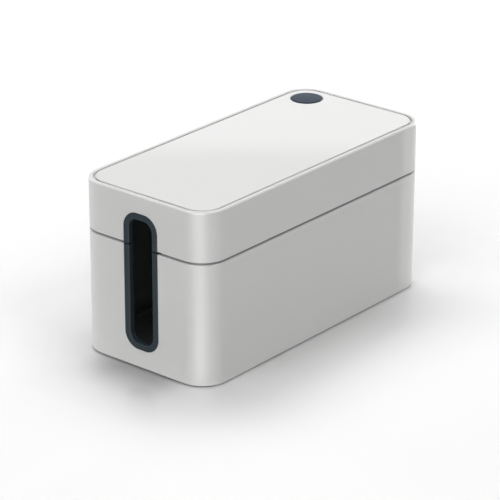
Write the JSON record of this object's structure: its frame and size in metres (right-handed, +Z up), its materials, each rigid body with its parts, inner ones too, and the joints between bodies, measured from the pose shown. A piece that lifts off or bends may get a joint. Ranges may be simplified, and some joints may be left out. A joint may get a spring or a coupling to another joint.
{
  "type": "cable management box",
  "caption": "Box that hides a power strip and spare cable: a moulded base with a lift-off lid, a trimmed cable slot in each end and a plugged cable outlet in the lid.",
  "frame": {"origin": "on the surface that the feet stand on, under the centre of the box", "axes": "+X along the length towards the end nearest the cable outlet, +Y along the depth towards the long side nearest the outlet, +Z up"},
  "size_m": [0.2468, 0.116, 0.1285],
  "materials": {
    "shell_plastic": "satin, light grey, fine moulded texture",
    "panel_gloss": "gloss, pale grey",
    "slate_rubber": "soft matte slate grey",
    "foot_rubber": "matte dark grey"
  },
  "bodies": {
    "base": {"base_shell": "shell_plastic", "slot_trim_left_lower": "slate_rubber", "slot_trim_right_lower": "slate_rubber", "foot_front_left": "foot_rubber", "foot_front_right": "foot_rubber", "foot_back_left": "foot_rubber", "foot_back_right": "foot_rubber"},
    "lid": {"lid_shell": "shell_plastic", "lid_panel": "panel_gloss", "slot_trim_left_upper": "slate_rubber", "slot_trim_right_upper": "slate_rubber", "outlet_grommet": "slate_rubber"},
    "plug": {"outlet_plug": "slate_rubber"}
  },
  "joints": [
    {"name": "lid_lift", "type": "slide", "parent": "base", "child": "lid", "axis": [0, 0, 1], "range_m": [0, 0.12]},
    {"name": "plug_lift", "type": "slide", "parent": "lid", "child": "plug", "axis": [0, 0, 1], "range_m": [0, 0.03]}
  ]
}
